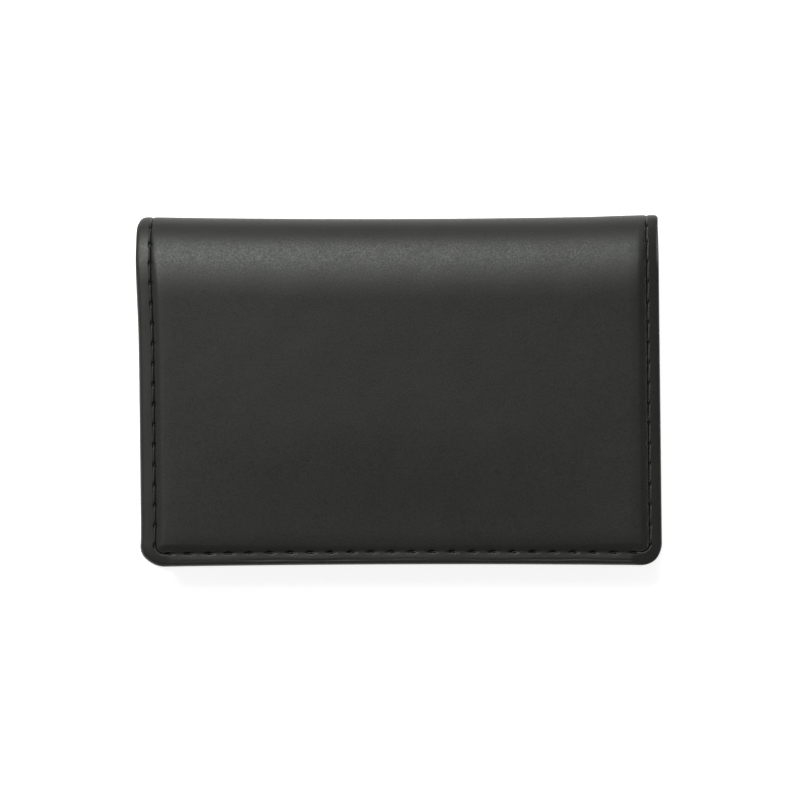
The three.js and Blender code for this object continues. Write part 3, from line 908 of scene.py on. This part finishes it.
def mixed(nodes, links, value, first, second):
    node = add(nodes, "ShaderNodeMix", data_type="RGBA")
    node.inputs["A"].default_value = (*first, 1)
    node.inputs["B"].default_value = (*second, 1)
    links.new(value, node.inputs["Factor"])
    return node.outputs["Result"]


def noise(nodes, links, vector, scale, detail, rough=0.5):
    node = add(nodes, "ShaderNodeTexNoise")
    node.inputs["Scale"].default_value = scale
    node.inputs["Detail"].default_value = detail
    node.inputs["Roughness"].default_value = rough
    links.new(vector, node.inputs["Vector"])
    return node.outputs["Fac"]


def bumped(nodes, links, height, strength, distance, before=None):
    node = add(nodes, "ShaderNodeBump")
    node.inputs["Strength"].default_value = strength
    node.inputs["Distance"].default_value = distance
    links.new(height, node.inputs["Height"])
    if before is not None:
        links.new(before, node.inputs["Normal"])
    return node.outputs["Normal"]


PORES = 2300  # to the metre
UNEVEN_GLOSS = 0.075  # how far the roughness strays from its middle


def leather(name, dark, light, roughness, grain):
    """Smooth leather: fine pores, grain in three sizes and a slightly uneven gloss."""
    made, nodes, links, surface = material(name)
    vector = object_place(nodes)
    mottle = noise(nodes, links, vector, 95, 5, 0.6)
    fine = noise(nodes, links, vector, 1900, 3, 0.6)
    cells = add(nodes, "ShaderNodeTexVoronoi", feature="DISTANCE_TO_EDGE")
    cells.inputs["Scale"].default_value = PORES
    links.new(vector, cells.inputs["Vector"])
    tone = mixed(nodes, links, ramp(nodes, links, mottle, 0, 1, 0.3, 0.7), dark, light)
    links.new(tone, surface.inputs["Base Color"])
    coarse = noise(nodes, links, vector, 650, 3, 0.6)
    speck = noise(nodes, links, vector, 2600, 2, 0.5)
    uneven = weighted(nodes, links, coarse, 0.3, speck)
    low, high = roughness - UNEVEN_GLOSS, roughness + UNEVEN_GLOSS
    links.new(ramp(nodes, links, uneven, low, high, 0.4, 0.9), surface.inputs["Roughness"])
    pores = ramp(nodes, links, cells.outputs["Distance"], 0, 1, 0, 0.12)
    first = bumped(nodes, links, pores, grain * 0.5, 0.00003)
    second = bumped(nodes, links, fine, grain * 0.42, 0.00005, first)
    third = bumped(nodes, links, coarse, grain * 0.2, 0.0001, second)
    fourth = bumped(nodes, links, mottle, 0.3, 0.00012, third)
    links.new(fourth, surface.inputs["Normal"])
    return made


def cloth(name, dark, light, pitch):
    """A plain weave: warp and weft pass over each other in turn."""
    made, nodes, links, surface = material(name)
    vector = object_place(nodes)
    split = add(nodes, "ShaderNodeSeparateXYZ")
    links.new(vector, split.inputs["Vector"])

    def wave(output):
        scaled = add(nodes, "ShaderNodeMath", operation="MULTIPLY")
        scaled.inputs[1].default_value = math.pi / pitch
        links.new(output, scaled.inputs[0])
        turned = add(nodes, "ShaderNodeMath", operation="SINE")
        links.new(scaled.outputs[0], turned.inputs[0])
        return turned.outputs[0]

    across, along = wave(split.outputs["X"]), wave(split.outputs["Y"])
    product = add(nodes, "ShaderNodeMath", operation="MULTIPLY")
    links.new(across, product.inputs[0])
    links.new(along, product.inputs[1])
    fuzz = noise(nodes, links, vector, 5000, 2)
    height = weighted(nodes, links, product.outputs[0], 0.5, fuzz)
    value = ramp(nodes, links, height, 0, 1, 0, 1)
    links.new(mixed(nodes, links, value, dark, light), surface.inputs["Base Color"])
    surface.inputs["Roughness"].default_value = 0.85
    surface.inputs["Sheen Weight"].default_value = 0.25
    surface.inputs["Sheen Roughness"].default_value = 0.4
    links.new(bumped(nodes, links, height, 0.8, 0.00006), surface.inputs["Normal"])
    return made


def fibre(name, dark, light, roughness, scale, sheen, depth):
    """Thread, foam and board: a matt face with a bump of one size."""
    made, nodes, links, surface = material(name)
    vector = object_place(nodes)
    grain = noise(nodes, links, vector, scale, 4, 0.65)
    tone = mixed(nodes, links, ramp(nodes, links, grain, 0, 1, 0.3, 0.7), dark, light)
    links.new(tone, surface.inputs["Base Color"])
    surface.inputs["Roughness"].default_value = roughness
    surface.inputs["Sheen Weight"].default_value = sheen
    links.new(bumped(nodes, links, grain, 0.6, depth), surface.inputs["Normal"])
    return made


COVER = leather("cover_leather", (0.0112, 0.0112, 0.0102), (0.0148, 0.0148, 0.0136), 0.44, 0.22)
INNER = leather("inner_leather", (0.010, 0.010, 0.0096), (0.014, 0.014, 0.0135), 0.5, 0.35)
WEAVE = cloth("lining_weave", (0.004, 0.004, 0.0045), (0.018, 0.018, 0.019), 0.0003)
YARN = fibre("sewing_thread", (0.012, 0.012, 0.012), (0.035, 0.035, 0.034), 0.5, 3500, 0.3, 0.00003)
FOAM = fibre("foam", (0.03, 0.03, 0.03), (0.09, 0.09, 0.09), 0.95, 1800, 0.1, 0.0001)
CARD = fibre("grey_board", (0.16, 0.13, 0.09), (0.27, 0.22, 0.15), 0.9, 700, 0.0, 0.00004)


def dress(piece, made, attach):
    piece.data.materials.clear()
    piece.data.materials.append(made)
    attach(piece)


def on_body(body):
    return lambda piece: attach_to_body(piece, body)


def on_gusset(piece):
    """Bakes a gusset's placement into its mesh. The gussets sit between the back half and the pocket panel."""
    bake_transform(piece)


dress(cover_back, COVER, on_back)
dress(cover_front, COVER, on_front)
dress(seam_back, YARN, on_back)
dress(seam_front, YARN, on_front)
dress(lining_back, WEAVE, on_back)
dress(lining_front, WEAVE, on_front)
for piece in (upper_slot, lower_slot):
    dress(piece, INNER, on_body("front_half"))
for piece in (upper_thread, lower_thread):
    dress(piece, YARN, on_body("front_half"))
dress(pocket_front, INNER, on_body("pocket"))
dress(pocket_stitches, YARN, on_body("pocket"))
dress(pocket_margin, INNER, on_body("back_half"))
dress(gusset_left, INNER, on_gusset)
dress(gusset_right, INNER, on_gusset)
dress(pad_front, FOAM, on_body("front_half"))
dress(pad_back, FOAM, on_body("back_half"))
for name in ("back_board", "front_board"):
    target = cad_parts[name]
    target.data.materials.clear()
    target.data.materials.append(CARD)

# ---------------------------------------------------------------- stage, light and camera

FLOOR_SIZE = 6
FLOOR_GAP = 0.00002  # below the case, so that the two faces don't share a plane


def floor():
    bpy.ops.mesh.primitive_plane_add(size=FLOOR_SIZE, location=(0, 0, -FLOOR_GAP))
    plane = bpy.context.object
    plane.name = "floor"
    made, nodes, links, surface = material("floor")
    vector = object_place(nodes)
    tone = noise(nodes, links, vector, 3, 2)
    links.new(mixed(nodes, links, tone, (0.86, 0.86, 0.86), (0.88, 0.88, 0.88)), surface.inputs["Base Color"])
    surface.inputs["Roughness"].default_value = 0.9
    surface.inputs["Emission Color"].default_value = (1, 1, 1, 1)
    surface.inputs["Emission Strength"].default_value = 0.8
    plane.data.materials.append(made)


def softbox(name, at, target, width, height, power, color):
    data = bpy.data.lights.new(name, "AREA")
    data.color = color
    data.shape = "RECTANGLE"
    data.size, data.size_y = width, height
    data.energy = power
    light = bpy.data.objects.new(name, data)
    bpy.context.scene.collection.objects.link(light)
    light.location = at
    light.rotation_euler = (Vector(target) - Vector(at)).to_track_quat("-Z", "Y").to_euler()


floor()
softbox("fold_light", (-0.26, 0.575, 0.95), (0, 0.02, 0.0), 0.82, 0.42, 10.2, (0.965, 1.0, 0.94))
softbox("back_light", (0, 1.4, 0.3), (0, 0, 0), 1.4, 0.45, 1.6, (1.0, 1.0, 0.98))
softbox("left_light", (-1.0, 0.1, 0.75), (0, 0, 0), 0.7, 1.0, 0.6, (1.0, 1.0, 0.97))

world = bpy.data.worlds.new("studio")
world.use_nodes = True
world.node_tree.nodes["Background"].inputs["Color"].default_value = (1, 1, 1, 1)
world.node_tree.nodes["Background"].inputs["Strength"].default_value = 0.18
bpy.context.scene.world = world

VIEW_WIDTH = 0.1585  # what the render spans, in metres, at the level of the front half's edge
CAMERA_HEIGHT = 1.4
SENSOR = 36
camera_data = bpy.data.cameras.new("camera")
camera_data.sensor_width = SENSOR
camera_data.lens = SENSOR * (CAMERA_HEIGHT - FRONT_LEVEL * MM) / VIEW_WIDTH
camera_data.clip_end = 20
camera = bpy.data.objects.new("camera", camera_data)
bpy.context.scene.collection.objects.link(camera)
camera.location = (0.00004, -0.00172, CAMERA_HEIGHT)
camera.rotation_euler = (0, 0, math.radians(-0.18))
bpy.context.scene.camera = camera
bpy.context.scene.view_settings.view_transform = "Standard"
